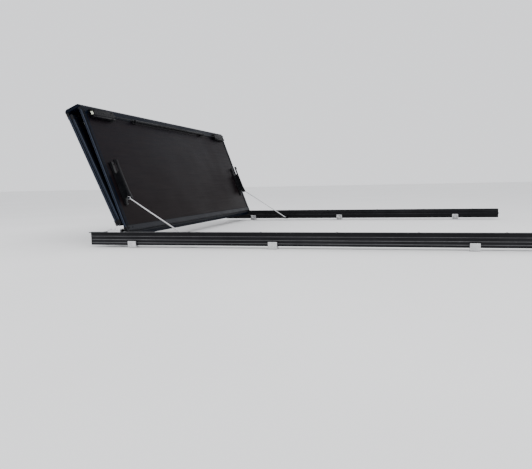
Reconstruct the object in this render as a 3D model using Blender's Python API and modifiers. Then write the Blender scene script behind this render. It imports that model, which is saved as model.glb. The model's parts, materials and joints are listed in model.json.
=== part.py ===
"""Hard tri-fold truck bed cover, standing folded on its two prop rods.

X runs to the tailgate, Y to the truck's right side, Z up; the origin is the middle of the
underside of the header lip, which rests on the bulkhead of the bed.  Metres.
Every panel is modelled flat, in the frame of its own front hinge line, and folded by the
rotation of the empty that carries it.
"""
import math

import bmesh
import bpy
from mathutils import Euler, Matrix, Vector

# Driving dimensions: the cover
PANEL_WIDTH = 1.644        # side to side, over the panel frames
PANEL_THICK = 0.015        # over the frame extrusions
FRONT_LEN = 0.617          # header hinge line to the first fold line
LINK_LEN = 0.056           # first fold line to the second, the wide hinge
MIDDLE_LEN = 0.571         # second fold line to the third
REAR_LEN = 0.559           # third fold line to the tailgate end
STAND_DEG = 109.7          # front panel, closed to standing on the prop rods
STACK_GAP = 0.0015         # folded rear panel to the front panel, at the closed end of the fan

# Panel frames and boards
HINGE_DROP = 0.0005        # hinge lines lie this far above the panel tops
FRAME_WIDTH = 0.024
FRAME_WALL = 0.003         # the wall behind the board's edge
FRAME_LIP = 0.0018         # the lips over and under the board
FRAME_EASE = 0.003         # rounding of the lower edge at the header
SIDE_NOSE = 0.004          # rounding of the side edges
BOARD_GAP = 0.0003
SOCKET_CLEAR = 0.0006      # outside of a hinge socket to the panel end beside it
NOSE = 0.006               # rounding of the tailgate end
JOINT_GAP = 0.0003         # between pieces that touch

# Interlocking hinges: a round bead turning in an open socket
BEAD_RADIUS = 0.0036
SOCKET_GAP = 0.0003
SOCKET_WALL = 0.002
NECK_THICK = 0.0022
MOUTH_SPARE_DEG = 5.0
COWL_END_DEG = 42.0        # inner corner of a frame's round end, below the hinge plane
COWL_TIP_DEG = 20.0        # outer corner of that round end
LINK_PLATE = 0.0031        # thickness of the link beside its sockets
LINK_DEPTH = 0.0150        # depth of the link's middle
LINK_SIDE_GAP = 0.0015     # round end of a frame to the side of the link's middle
LINK_ROUND = 0.005         # rounding along the link's middle

# Pinned hinge between the middle and rear panels
KNUCKLE_RADIUS = 0.0040
PIN_RADIUS = 0.0018
PIN_GAP = 0.0003
KNUCKLES = 9
KNUCKLE_SIDE_GAP = 0.001
PIN_SHORT = 0.002          # the pin's end, inside the panel's side edge
PIN_END_GAP = 0.0048       # panel end to the pinned hinge line

# Header
HEADER_DECK = 0.085        # hinge line to the front wall
HEADER_LIP = 0.030
HEADER_WALL = 0.003
SOCKET_FOOT_DEG = 50.0     # where the rear rib meets the header's socket, below level
HEADER_SEAL_REACH = 0.008
HEADER_SEAL_HEIGHT = 0.0028
HEADER_SEAL_HOLLOW = 0.5   # width of the seal's hollow, of its own width

# Rails
RAIL_TOP_OVER_HINGE = 0.006
RAIL_WALL = 0.003
RAIL_FLANGE = 0.018        # reach of the top flange over the bed side
PANEL_SIDE_GAP = 0.003     # panel to the rail wall
LEDGE_REACH = 0.034        # ledge under the panel, from the panel's side edge
LEDGE_LIP = 0.0035
RAIL_DEPTH = 0.058         # wall below the flange underside
RAIL_PAST_COVER = 0.028    # rail beyond the tailgate end
RAIL_AHEAD = 0.175         # rail in front of the hinge line
SEAL_HEIGHT = 0.0043
SEAL_WIDTH = 0.012
SEAL_SQUEEZE_GAP = 0.0005
SEAL_INWARD = 0.006        # rail seal, in from the panel's side edge
SEAL_FRONT_GAP = 0.010     # hinge line to the rail seal
SEAL_BACK_GAP = 0.004      # rail seal to the rail's rear end

# Header brackets
TIE_THICK = 0.004
TIE_BLOCK = 0.012          # height over the rail flange
TIE_REACH = 0.030          # foot on the header's deck
TIE_AHEAD = 0.079          # front end, before the hinge line
TIE_BACK = 0.014           # rear end, before the hinge line

# Rail clamps
CLAMP_WIDTH = 0.040
CLAMP_WALL = 0.006
CLAMP_FROM_HINGE = (0.042, 0.715, 1.546)
CLAMP_THROAT = 0.010       # space behind the rail wall for the bed's own flange
CLAMP_DEPTH = 0.036
CLAMP_SEAT = 0.0015        # inner jaw to the rail wall
CLAMP_TOP_GAP = 0.002      # ledge to the inner jaw's top
CLAMP_JAW_DROP = 0.006     # the outer jaw's top, below the inner jaw's
CLAMP_FLOOR_GAP = 0.003    # rail wall to the throat's floor
BOLT_RADIUS = 0.004
BOLT_HEAD = 0.0075
BOLT_HEAD_HIGH = 0.007
BOLT_HEAD_IN = 0.004       # the head's near face, from the clamp's inner face
BOLT_GAP = 0.0003

# Prop rods
ROD_RADIUS = 0.003
ROD_LENGTH = 0.377
ROD_INBOARD = 0.052        # rod plane, from the panel's side edge
ROD_PIVOT_ALONG = 0.153    # from the hinge line
ROD_PIVOT_PROUD = 0.034    # below the panel's underside
ROD_DOWN_DEG = 32.6        # standing: below level, to the tailgate
EYE_RADIUS = 0.0072
EYE_PIN_RADIUS = 0.003
EYE_GAP = 0.0003
STUB_REACH = 0.0160        # bent end of the rod, outboard of its plane
CATCH_THICK = 0.004
CATCH_GAP = 0.0010         # rod end in its catch, where the rod lifts out
CATCH_HALF = 0.014         # half the catch's foot, along X
CATCH_FLARE = 0.008        # how much wider the catch is above
CATCH_UNDER = 0.012        # material below the rod end
CATCH_OVER = 0.006         # material over the notch
CATCH_LIP = 0.0035         # notch floor beyond the rod end
CATCH_TOP = 0.0025         # catch's top over the ledge lip's lower edge

# Rod brackets
BRACKET_THICK = 0.014
BRACKET_BACK = 0.346       # from the hinge line
BRACKET_FRONT = 0.128
BRACKET_FOOT = 0.006
BRACKET_FLANGE = 0.032
BRACKET_PLATE = 0.003
BRACKET_OVERLAP = 0.006    # flange outboard of the bracket's body
BRACKET_SIDE_GAP = 0.003   # rod to the bracket's body
BRACKET_BOSS = 0.0095
BRACKET_RAMP = 0.034       # front edge to the boss's shoulder
PRONG = 0.007
PRONG_LENGTH = 0.056
PRONG_PROUD = 0.002        # prong's outer face, beyond the rod's axis
CLIP_LENGTH = 0.020
CLIP_GAP = 0.0008          # stowed rod in its clip
CLIP_WALL = 0.002
CLIP_HOOK = 0.0025         # the clip's wall reaches this far past the rod's axis
PIN_HEAD = 0.0055
PIN_HEAD_HIGH = 0.002
PIN_HEAD_GAP = 0.0005
ROD_BEND = 0.006           # bend radius at the rod's end

# Latches, cable and guides
LATCH_LENGTH = 0.168
LATCH_WIDTH = 0.040
LATCH_INBOARD = 0.042
FRONT_LATCH_BACK = 0.033   # latch middle, before the front panel's rear hinge line
REAR_LATCH_BACK = 0.056    # latch middle, before the tailgate end
LATCH_BAR = 0.0115
LATCH_HEIGHT = 0.021
LATCH_FLOOR = 0.003
BOLT_THICK = 0.007
LATCH_TRAVEL = 0.020
LATCH_UNDER_LIP = 0.0010   # thrown latch bolt below the ledge lip
BOLT_LENGTH = 0.120
BOLT_SIDE_GAP = 0.0005
BOLT_OUT = 0.004           # drawn-back bolt's nose, outboard of its housing
BOLT_SLOPE = (0.010, 0.005)  # the nose's slope, along the bolt and across it
BOLT_SOCKET = 0.012        # how far the cable runs into the bolt
CABLE_IN_SLEEVE = 0.045    # the cable's end, inboard of its guide clip
CABLE_RADIUS = 0.0015
CABLE_GAP = 0.0010
CLIP_INBOARD = 0.408
CLIP_SIZE = (0.020, 0.034)
CLIP_PLATE = 0.003
CLIP_NECK = 0.011
CLIP_EYE_WALL = 0.0005     # the clip's eye over the sleeve's radius
SLEEVE_RADIUS = 0.006

# Tailgate seal
BULB_RADIUS = 0.005
BULB_WALL = 0.0015
BULB_FROM_END = 0.012
BULB_SHORT = 0.030         # the seal's end, inside the panel's side edge

# Places that follow from the driving dimensions
RAIL_TOP = RAIL_WALL
HINGE_Z = RAIL_TOP - RAIL_TOP_OVER_HINGE
HINGE_X = HEADER_DECK + HEADER_LIP / 2
TOP = -HINGE_DROP
BOTTOM = TOP - PANEL_THICK
FAN = math.asin((LINK_LEN - PANEL_THICK - 2 * HINGE_DROP - STACK_GAP) / MIDDLE_LEN)
FOLD = math.radians(180) + FAN
STAND = math.radians(STAND_DEG)
SOCKET_IN = BEAD_RADIUS + SOCKET_GAP
SOCKET_OUT = SOCKET_IN + SOCKET_WALL
END_GAP = SOCKET_OUT + SOCKET_CLEAR
NECK_LOW = TOP - NECK_THICK
HALF = PANEL_WIDTH / 2
LEDGE_TOP = HINGE_Z + BOTTOM - SEAL_SQUEEZE_GAP - SEAL_HEIGHT
LEDGE_LOW = LEDGE_TOP - RAIL_WALL - LEDGE_LIP
HEADER_LOW = LEDGE_TOP - HINGE_Z + JOINT_GAP
RAIL_FRONT = HINGE_X - RAIL_AHEAD
COVER_END = HINGE_X + FRONT_LEN + LINK_LEN + MIDDLE_LEN + REAR_LEN
RAIL_BACK = COVER_END + RAIL_PAST_COVER
ROD_TURN = STAND + math.radians(ROD_DOWN_DEG)


def clear_scene():
    for item in list(bpy.data.objects):
        bpy.data.objects.remove(item, do_unlink=True)


def collection(name):
    group = bpy.data.collections.new(name)
    bpy.context.scene.collection.children.link(group)
    return group


def material(name, colour, roughness, metallic):
    made = bpy.data.materials.new(name)
    made.use_nodes = True
    shader = made.node_tree.nodes["Principled BSDF"]
    shader.inputs["Base Color"].default_value = (*colour, 1.0)
    shader.inputs["Roughness"].default_value = roughness
    shader.inputs["Metallic"].default_value = metallic
    return made


clear_scene()
COVER = collection("tonneau_cover")
CUTTERS = collection("cutters")
ALUMINIUM = material("black_aluminium", (0.018, 0.019, 0.024), 0.42, 0.6)
LAMINATE = material("panel_laminate", (0.030, 0.027, 0.031), 0.38, 0.0)
RUBBER = material("seal_rubber", (0.010, 0.010, 0.011), 0.75, 0.0)
PLASTIC = material("black_nylon", (0.012, 0.012, 0.014), 0.50, 0.0)
STEEL = material("bright_steel", (0.62, 0.62, 0.62), 0.28, 1.0)
ZINC = material("pale_zinc", (0.55, 0.57, 0.48), 0.35, 1.0)


def place(item, name, look, parent):
    """Name a piece, give it its look and put it in the cover under its joint's empty."""
    item.name = name
    item.data.name = name
    item.data.materials.clear()
    item.data.materials.append(look)
    for group in list(item.users_collection):
        group.objects.unlink(item)
    COVER.objects.link(item)
    item.parent = parent
    return item


def joint_empty(name, parent, location, turn):
    """An empty on a joint's axis; its turn about Y folds what it carries."""
    empty = bpy.data.objects.new(name, None)
    empty.empty_display_size = 0.03
    empty.location = location
    empty.rotation_euler = (0.0, -turn, 0.0)
    empty.parent = parent
    COVER.objects.link(empty)
    return empty


def arc(radius, start_deg, end_deg, centre=(0.0, 0.0), steps=None):
    """Points on an arc, both ends included."""
    count = steps or max(2, round(abs(end_deg - start_deg) / 12))
    points = []
    for step in range(count + 1):
        angle = math.radians(start_deg + (end_deg - start_deg) * step / count)
        points.append((centre[0] + radius * math.cos(angle), centre[1] + radius * math.sin(angle)))
    return points


def flipped(points):
    return [(-first, second) for first, second in points]


def moved(points, shift):
    return [(first + shift, second) for first, second in points]


def flat_curve(outline, low, high, holes=()):
    """A flat outline as a 2D curve, drawn in local XY and thick from low to high in local Z."""
    curve = bpy.data.curves.new("outline", "CURVE")
    curve.dimensions = "2D"
    curve.fill_mode = "BOTH"
    curve.extrude = (high - low) / 2
    for loop in (outline, *holes):
        spline = curve.splines.new("POLY")
        spline.points.add(len(loop) - 1)
        for point, (first, second) in zip(spline.points, loop):
            point.co = (first, second, 0.0, 1.0)
        spline.use_cyclic_u = True
    item = bpy.data.objects.new("outline", curve)
    bpy.context.scene.collection.objects.link(item)
    return item


def across(outline, low, high, holes=()):
    """An extrusion across the truck: outline in X and Z, from low to high in Y."""
    item = flat_curve(outline, low, high, holes)
    item.rotation_euler = (math.radians(90), 0.0, 0.0)
    item.location = (0.0, (low + high) / 2, 0.0)
    return item


def along(outline, low, high, holes=()):
    """An extrusion along the truck: outline in Y and Z, from low to high in X."""
    item = flat_curve(outline, low, high, holes)
    item.rotation_euler = (math.radians(90), 0.0, math.radians(90))
    item.location = ((low + high) / 2, 0.0, 0.0)
    return item


def as_mesh(item):
    """A mesh object in place of a curve, its caps welded."""
    bpy.context.view_layer.update()
    graph = bpy.context.evaluated_depsgraph_get()
    mesh = bpy.data.meshes.new_from_object(item.evaluated_get(graph))
    mesh.transform(item.matrix_world)
    shape = bmesh.new()
    shape.from_mesh(mesh)
    bmesh.ops.remove_doubles(shape, verts=shape.verts, dist=0.000002)
    bmesh.ops.recalc_face_normals(shape, faces=shape.faces)
    shape.to_mesh(mesh)
    shape.free()
    bpy.data.objects.remove(item, do_unlink=True)
    return link_mesh(mesh)


def link_mesh(mesh):
    item = bpy.data.objects.new(mesh.name, mesh)
    bpy.context.scene.collection.objects.link(item)
    return item


def box(low, high, bevel=0.0):
    """A box between two corners, its edges rounded by the bevel."""
    shape = bmesh.new()
    bmesh.ops.create_cube(shape, size=1.0)
    size = Vector(high) - Vector(low)
    centre = (Vector(high) + Vector(low)) / 2
    bmesh.ops.transform(shape, matrix=Matrix.Translation(centre) @ Matrix.Diagonal(size).to_4x4(),
                        verts=shape.verts)
    mesh = bpy.data.meshes.new("box")
    shape.to_mesh(mesh)
    shape.free()
    item = link_mesh(mesh)
    if bevel:
        round_edges(item, bevel)
    return item


def round_edges(item, width, segments=1):
    rounding = item.modifiers.new("rounding", "BEVEL")
    rounding.width = width
    rounding.segments = segments
    rounding.limit_method = "ANGLE"
    rounding.angle_limit = math.radians(50)


def cylinder(radius, low, high, sides=24, centre=(0.0, 0.0), direction="Y"):
    """A cylinder along Y (centre in X and Z) or along X (centre in Y and Z)."""
    shape = bmesh.new()
    bmesh.ops.create_cone(shape, cap_ends=True, segments=sides, radius1=radius, radius2=radius,
                          depth=high - low)
    middle = (low + high) / 2
    if direction == "Y":
        turn = Euler((math.radians(90), 0.0, 0.0)).to_matrix().to_4x4()
        shift = Matrix.Translation((centre[0], middle, centre[1]))
    else:
        turn = Euler((0.0, math.radians(90), 0.0)).to_matrix().to_4x4()
        shift = Matrix.Translation((middle, centre[0], centre[1]))
    bmesh.ops.transform(shape, matrix=shift @ turn, verts=shape.verts)
    mesh = bpy.data.meshes.new("cylinder")
    shape.to_mesh(mesh)
    shape.free()
    mesh.shade_smooth()
    mesh.set_sharp_from_angle(angle=math.radians(35))
    return link_mesh(mesh)


def combine(item, tool, operation):
    """Join a piece with a tool or cut it by one; the tool stays as a hidden guide."""
    step = item.modifiers.new(operation.lower(), "BOOLEAN")
    step.operation = operation
    step.object = tool
    step.solver = "EXACT"
    for group in list(tool.users_collection):
        group.objects.unlink(tool)
    CUTTERS.objects.link(tool)
    tool.hide_render = True
    tool.display_type = "WIRE"
    tool.parent = item


def side_span(side, inner, outer):
    """Y limits of a piece on one side, given as distances in from the panel's side edge."""
    ends = (side * (HALF - inner), side * (HALF - outer))
    return min(ends), max(ends)


def side_outline(side, points):
    """An outline given as (distance in from the panel's side edge, Z), on one side in Y and Z."""
    return [(side * (HALF - inward), height) for inward, height in points]


# ---------------------------------------------------------------- panel frames

def board_slot(x_mouth, x_floor):
    """The slot of a frame, top to bottom: lips over and under the board, floor at its edge."""
    return [(x_mouth, TOP - FRAME_LIP), (x_floor, TOP - FRAME_LIP),
            (x_floor, BOTTOM + FRAME_LIP), (x_mouth, BOTTOM + FRAME_LIP)]


def bead_points():
    """Neck and bead at a panel's rear end, from the neck's top to its underside."""
    top_deg = 180 + math.degrees(math.asin(-TOP / BEAD_RADIUS))
    low_deg = -180 + math.degrees(math.asin(-NECK_LOW / BEAD_RADIUS))
    return arc(BEAD_RADIUS, top_deg, low_deg)


def rear_bead_frame():
    """Frame at a panel's rear hinge line: board slot, bead and a round cowl under the socket."""
    inner_deg = -180 + math.degrees(math.asin(-NECK_LOW / END_GAP))
    mouth = -END_GAP - FRAME_WIDTH
    slot = list(reversed(board_slot(mouth, -END_GAP - FRAME_WALL)))
    return ([(mouth, TOP)] + bead_points() + arc(END_GAP, inner_deg, -COWL_END_DEG)
            + arc(-BOTTOM, -COWL_TIP_DEG, -90) + [(mouth, BOTTOM)] + slot)


def front_bead_frame():
    """Frame of the front panel at the header: board slot, square end and bead."""
    mouth = END_GAP + FRAME_WIDTH
    ease_centre = (END_GAP + FRAME_EASE, BOTTOM + FRAME_EASE)
    return ([(mouth, TOP)] + flipped(bead_points())
            + [(END_GAP, NECK_LOW), (END_GAP, BOTTOM + FRAME_EASE)]
            + arc(FRAME_EASE, 180, 270, ease_centre, 3)
            + [(mouth, BOTTOM)] + list(reversed(board_slot(mouth, END_GAP + FRAME_WALL))))


def pinned_frame():
    """Frame at the pinned hinge line, at a panel's rear end, without its knuckles."""
    mouth = -PIN_END_GAP - FRAME_WIDTH
    slot = list(reversed(board_slot(mouth, -PIN_END_GAP - FRAME_WALL)))
    return [(mouth, TOP), (-PIN_END_GAP, TOP), (-PIN_END_GAP, BOTTOM), (mouth, BOTTOM)] + slot


def tailgate_frame():
    """Frame at the tailgate end, with a rounded nose."""
    flat_end = REAR_LEN - NOSE
    mouth = flat_end - FRAME_WIDTH
    slot = list(reversed(board_slot(mouth, flat_end - FRAME_WALL)))
    return ([(mouth, TOP)] + arc(NOSE, 90, -90, (flat_end, TOP - NOSE), 6)
            + [(flat_end, BOTTOM), (mouth, BOTTOM)] + slot)


def knuckle_span(index, lead):
    """Y limits of one knuckle of the pinned hinge; the two panels take turns."""
    pitch = PANEL_WIDTH / (2 * KNUCKLES + 1)
    low = -HALF + (2 * index + lead) * pitch
    return low + KNUCKLE_SIDE_GAP / 2, low + pitch - KNUCKLE_SIDE_GAP / 2


def add_knuckles(frame, lead, count, hinge_x, toward):
    """Join a row of knuckles, each with its web, and bore them for the pin."""
    for index in range(count):
        low, high = knuckle_span(index, lead)
        combine(frame, cylinder(KNUCKLE_RADIUS, low, high, 16, (hinge_x, 0.0)), "UNION")
        ends = (hinge_x, hinge_x + toward * (PIN_END_GAP + FRAME_WALL))
        web = box((min(ends), low, -KNUCKLE_RADIUS), (max(ends), high, TOP - FRAME_LIP / 2))
        combine(frame, web, "UNION")
    bore = cylinder(PIN_RADIUS + PIN_GAP, -PANEL_WIDTH, PANEL_WIDTH, 16, (hinge_x, 0.0))
    combine(frame, bore, "DIFFERENCE")


def side_frame(side, x_low, x_high):
    """Frame along one side of a panel."""
    points = ([(FRAME_WIDTH, TOP)] + arc(SIDE_NOSE, 90, 180, (SIDE_NOSE, TOP - SIDE_NOSE), 3)
              + arc(SIDE_NOSE, 180, 270, (SIDE_NOSE, BOTTOM + SIDE_NOSE), 3)
              + [(FRAME_WIDTH, BOTTOM)] + list(reversed(board_slot(FRAME_WIDTH, FRAME_WALL))))
    return along(side_outline(side, points), x_low, x_high)


def panel_sides_and_board(name, parent, length, front_gap, rear_gap):
    """The two side frames and the laminated board of one panel, between its cross frames."""
    x_low = front_gap + FRAME_WIDTH + JOINT_GAP
    x_high = length - rear_gap - FRAME_WIDTH - JOINT_GAP
    for side, word in ((-1, "left"), (1, "right")):
        place(side_frame(side, x_low, x_high), f"{name}_{word}_frame", ALUMINIUM, parent)
    inset = FRAME_WALL + BOARD_GAP
    board = box((front_gap + inset, -HALF + inset, BOTTOM + FRAME_LIP + BOARD_GAP),
                (length - rear_gap - inset, HALF - inset, TOP - FRAME_LIP - BOARD_GAP))
    place(board, f"{name}_board", LAMINATE, parent)


# ---------------------------------------------------------------- fixed pieces

def header():
    """Fixed front extrusion: hinge socket, ribbed deck and the lip that rests on the bulkhead."""
    lean_deg = math.degrees(math.asin(-TOP / SOCKET_IN))
    neck_deg = math.degrees(math.asin(-NECK_LOW / SOCKET_IN))
    upper = STAND_DEG - lean_deg + MOUTH_SPARE_DEG
    lower = 360 - neck_deg - MOUTH_SPARE_DEG
    wall = HEADER_WALL
    under = TOP - wall
    low = HEADER_LOW
    lip = -HINGE_Z
    back = -SOCKET_OUT * math.cos(math.radians(SOCKET_FOOT_DEG))
    outline = arc(SOCKET_IN, upper, lower) + arc(SOCKET_OUT, lower, 180 + SOCKET_FOOT_DEG)
    outline += [(back, low), (back - wall, low), (back - wall, under)]
    rib = -HEADER_DECK / 2
    outline += [(rib + wall / 2, under), (rib + wall / 2, low)]
    outline += [(rib - wall / 2, low), (rib - wall / 2, under)]
    outline += [(-HEADER_DECK + wall, under), (-HEADER_DECK + wall, low), (-HEADER_DECK, low)]
    outline += [(-HEADER_DECK, lip), (-HEADER_DECK - HEADER_LIP, lip)]
    outline += [(-HEADER_DECK - HEADER_LIP, lip + wall), (-HEADER_DECK + wall, lip + wall)]
    outline += [(-HEADER_DECK + wall, TOP)]
    shoulder_deg = 180 + math.degrees(math.asin(-TOP / SOCKET_OUT))
    outline += arc(SOCKET_OUT, shoulder_deg, upper)
    item = across(outline, -HALF, HALF)
    item.location += Vector((HINGE_X, 0.0, HINGE_Z))
    place(item, "header", ALUMINIUM, None)


def header_seal():
    """Low seal along the front edge of the header lip, hollow like a tube pressed flat."""
    outline = []
    hole = []
    for first, second in arc(0.5, 0, 360, (0.5, 0.5), 16)[:-1]:
        outline.append((HEADER_SEAL_REACH * first, HEADER_SEAL_HEIGHT * second))
        hole.append((HEADER_SEAL_REACH * (0.5 + (first - 0.5) * HEADER_SEAL_HOLLOW),
                     HEADER_SEAL_HEIGHT * (0.5 + (second - 0.5) * HEADER_SEAL_HOLLOW)))
    edge = -HEADER_LIP / 2 - JOINT_GAP - HEADER_SEAL_REACH
    place(across(moved(outline, edge), -HALF, HALF, (moved(hole, edge),)), "header_seal", RUBBER, None)


def rail(side, word):
    """Side rail: flange on the bed side, wall down inside the bed, ledge under the panels."""
    wall_in = -PANEL_SIDE_GAP
    wall_out = wall_in - RAIL_WALL
    flange_out = wall_in - RAIL_FLANGE
    points = [(flange_out, RAIL_TOP), (wall_in, RAIL_TOP), (wall_in, LEDGE_TOP),
              (LEDGE_REACH, LEDGE_TOP), (LEDGE_REACH, LEDGE_LOW),
              (LEDGE_REACH - RAIL_WALL, LEDGE_LOW), (LEDGE_REACH - RAIL_WALL, LEDGE_TOP - RAIL_WALL),
              (wall_in, LEDGE_TOP - RAIL_WALL), (wall_in, -RAIL_DEPTH), (wall_out, -RAIL_DEPTH),
              (wall_out, 0.0), (flange_out, 0.0)]
    item = along(side_outline(side, points), RAIL_FRONT, RAIL_BACK)
    place(item, f"{word}_rail", ALUMINIUM, None)


def rail_seal(side, word):
    """D-shaped seal on the rail's ledge, which the closed panels rest on."""
    base = LEDGE_TOP + JOINT_GAP
    height = SEAL_HEIGHT - JOINT_GAP
    points = []
    for first, second in arc(1.0, 0, 180, (0.0, 0.0), 8):
        points.append((SEAL_INWARD + SEAL_WIDTH / 2 * (1 + first), base + height * second))
    item = along(side_outline(side, points), HINGE_X + SEAL_FRONT_GAP, RAIL_BACK - SEAL_BACK_GAP)
    place(item, f"{word}_rail_seal", RUBBER, None)


def header_bracket(side, word):
    """Plate that ties the header's end to the rail flange."""
    flange_out = -PANEL_SIDE_GAP - RAIL_FLANGE
    foot = HINGE_Z + TOP + JOINT_GAP
    over = RAIL_TOP + JOINT_GAP
    points = [(flange_out, over), (0.0, over), (0.0, foot), (TIE_REACH, foot),
              (TIE_REACH, foot + TIE_THICK), (TIE_THICK, foot + TIE_THICK),
              (TIE_THICK, over + TIE_BLOCK), (flange_out, over + TIE_BLOCK)]
    item = along(side_outline(side, points), HINGE_X - TIE_AHEAD, HINGE_X - TIE_BACK)
    place(item, f"{word}_header_bracket", STEEL, None)


def clamp(side, word, index, from_hinge):
    """C-shaped clamp under the ledge: its throat takes the rail wall and the bed's flange."""
    middle = HINGE_X + from_hinge
    wall_in = -PANEL_SIDE_GAP
    jaw_in = wall_in + CLAMP_SEAT
    face_in = jaw_in + CLAMP_WALL
    jaw_out = wall_in - RAIL_WALL - CLAMP_THROAT
    top = LEDGE_LOW - CLAMP_TOP_GAP
    low = top - CLAMP_DEPTH
    floor = -RAIL_DEPTH - CLAMP_FLOOR_GAP
    points = [(jaw_in, top), (face_in, top), (face_in, low), (jaw_out - CLAMP_WALL, low),
              (jaw_out - CLAMP_WALL, top - CLAMP_JAW_DROP), (jaw_out, top - CLAMP_JAW_DROP),
              (jaw_out, floor), (jaw_in, floor)]
    item = as_mesh(along(side_outline(side, points), middle - CLAMP_WIDTH / 2,
                         middle + CLAMP_WIDTH / 2))
    height = (top + floor) / 2
    bore = side_span(side, jaw_in - CLAMP_WALL, face_in + CLAMP_WALL)
    combine(item, cylinder(BOLT_RADIUS + BOLT_GAP, bore[0], bore[1], 16, (middle, height)),
            "DIFFERENCE")
    place(item, f"{word}_clamp_{index}", STEEL, None)
    head = side_span(side, face_in + BOLT_HEAD_IN, face_in + BOLT_HEAD_IN + BOLT_HEAD_HIGH)
    shank = side_span(side, wall_in + JOINT_GAP, face_in + BOLT_HEAD_IN + BOLT_HEAD_HIGH / 2)
    bolt = cylinder(BOLT_RADIUS, shank[0], shank[1], 16, (middle, height))
    combine(bolt, cylinder(BOLT_HEAD, head[0], head[1], 6, (middle, height)), "UNION")
    place(bolt, f"{word}_clamp_bolt_{index}", STEEL, None)


# ---------------------------------------------------------------- prop rods

def rod_pivot():
    return ROD_PIVOT_ALONG, BOTTOM - ROD_PIVOT_PROUD


def rod_tip():
    """Where the standing rod's end lies, in X and Z."""
    along_panel, below = rod_pivot()
    cos, sin = math.cos(STAND), math.sin(STAND)
    pivot = (HINGE_X + along_panel * cos - below * sin, HINGE_Z + along_panel * sin + below * cos)
    down = math.radians(ROD_DOWN_DEG)
    return pivot[0] + ROD_LENGTH * math.cos(down), pivot[1] - ROD_LENGTH * math.sin(down)


def rod_catch(side, word):
    """Plate on the rail's ledge lip, with the open notch that holds the rod's bent end."""
    tip_x, tip_z = rod_tip()
    radius = ROD_RADIUS + CATCH_GAP
    top = LEDGE_LOW + CATCH_TOP
    low = tip_z - CATCH_UNDER
    front = tip_x - CATCH_HALF
    back = tip_x + CATCH_HALF
    half_flare = CATCH_FLARE / 2
    outline = [(front - CATCH_FLARE, top), (front - CATCH_FLARE, low + CATCH_FLARE), (front, low),
               (back, low), (back + half_flare, low + half_flare), (back + half_flare, tip_z - radius)]
    outline += arc(radius, 270, 90, (tip_x, tip_z))
    outline += [(tip_x + CATCH_LIP, tip_z + radius), (tip_x + CATCH_LIP, tip_z + radius + CATCH_OVER),
                (tip_x + CATCH_HALF, top)]
    low_y, high_y = side_span(side, LEDGE_REACH + JOINT_GAP, LEDGE_REACH + JOINT_GAP + CATCH_THICK)
    place(across(outline, low_y, high_y), f"{word}_rod_catch", PLASTIC, None)


def rod_bracket(side, word, parent):
    """Bracket under the front panel: pivot boss, body, stowing fork and clip."""
    pivot_x, pivot_z = rod_pivot()
    face = BOTTOM - JOINT_GAP
    buried = face - BRACKET_PLATE / 6
    foot = face - BRACKET_FOOT
    low_edge = pivot_z - BRACKET_BOSS / 2
    prong_low = pivot_z - PRONG_PROUD
    fork = BRACKET_BACK - PRONG_LENGTH
    outline = [(BRACKET_FRONT, buried), (BRACKET_FRONT, foot + BRACKET_FOOT / 6),
               (BRACKET_FRONT + BRACKET_RAMP, foot - BRACKET_FOOT / 2),
               (pivot_x + BRACKET_BOSS, pivot_z + BRACKET_BOSS)]
    outline += arc(BRACKET_BOSS, 90, 270, (pivot_x, pivot_z), 8)
    outline += [(pivot_x + BRACKET_RAMP, low_edge), (fork - PRONG, prong_low),
                (BRACKET_BACK, prong_low), (BRACKET_BACK, prong_low + PRONG),
                (fork, prong_low + PRONG), (fork - PRONG, foot - PRONG), (fork, foot),
                (BRACKET_BACK, foot), (BRACKET_BACK, buried)]
    inner = ROD_INBOARD + ROD_RADIUS + BRACKET_SIDE_GAP
    low, high = side_span(side, inner, inner + BRACKET_THICK)
    item = as_mesh(across(outline, low, high))
    plate = side_span(side, inner - BRACKET_OVERLAP, inner - BRACKET_OVERLAP + BRACKET_FLANGE)
    combine(item, box((BRACKET_FRONT + BRACKET_SIDE_GAP, plate[0], face - BRACKET_PLATE),
                      (BRACKET_BACK - BRACKET_SIDE_GAP, plate[1], face)), "UNION")
    shelf_z = pivot_z + ROD_RADIUS + CLIP_GAP
    outer = ROD_INBOARD - ROD_RADIUS - CLIP_GAP
    wall = outer - CLIP_WALL
    hook_low = pivot_z - CLIP_HOOK
    rooted = inner + CLIP_WALL
    hook = [(wall, hook_low), (outer, hook_low), (outer, shelf_z), (rooted, shelf_z),
            (rooted, shelf_z + CLIP_WALL), (wall, shelf_z + CLIP_WALL)]
    clip = as_mesh(along(side_outline(side, hook), BRACKET_BACK - CLIP_LENGTH,
                         BRACKET_BACK - CLIP_WALL / 2))
    combine(item, clip, "UNION")
    bore = side_span(side, inner - BRACKET_THICK, inner + 2 * BRACKET_THICK)
    combine(item, cylinder(EYE_PIN_RADIUS + EYE_GAP, bore[0], bore[1], 16, (pivot_x, pivot_z)),
            "DIFFERENCE")
    place(item, f"{word}_rod_bracket", PLASTIC, parent)


def rod_pin(side, word, parent):
    """Headed pin through the rod's eye and the bracket's boss."""
    centre = rod_pivot()
    head_in = ROD_INBOARD - ROD_RADIUS - PIN_HEAD_GAP
    inner_end = ROD_INBOARD + ROD_RADIUS + BRACKET_SIDE_GAP + BRACKET_THICK + PIN_SHORT
    shank = side_span(side, head_in - PIN_HEAD_HIGH / 2, inner_end)
    head = side_span(side, head_in - PIN_HEAD_HIGH, head_in)
    item = cylinder(EYE_PIN_RADIUS, shank[0], shank[1], 16, centre)
    combine(item, cylinder(PIN_HEAD, head[0], head[1], 16, centre), "UNION")
    place(item, f"{word}_rod_pin", STEEL, parent)


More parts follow.
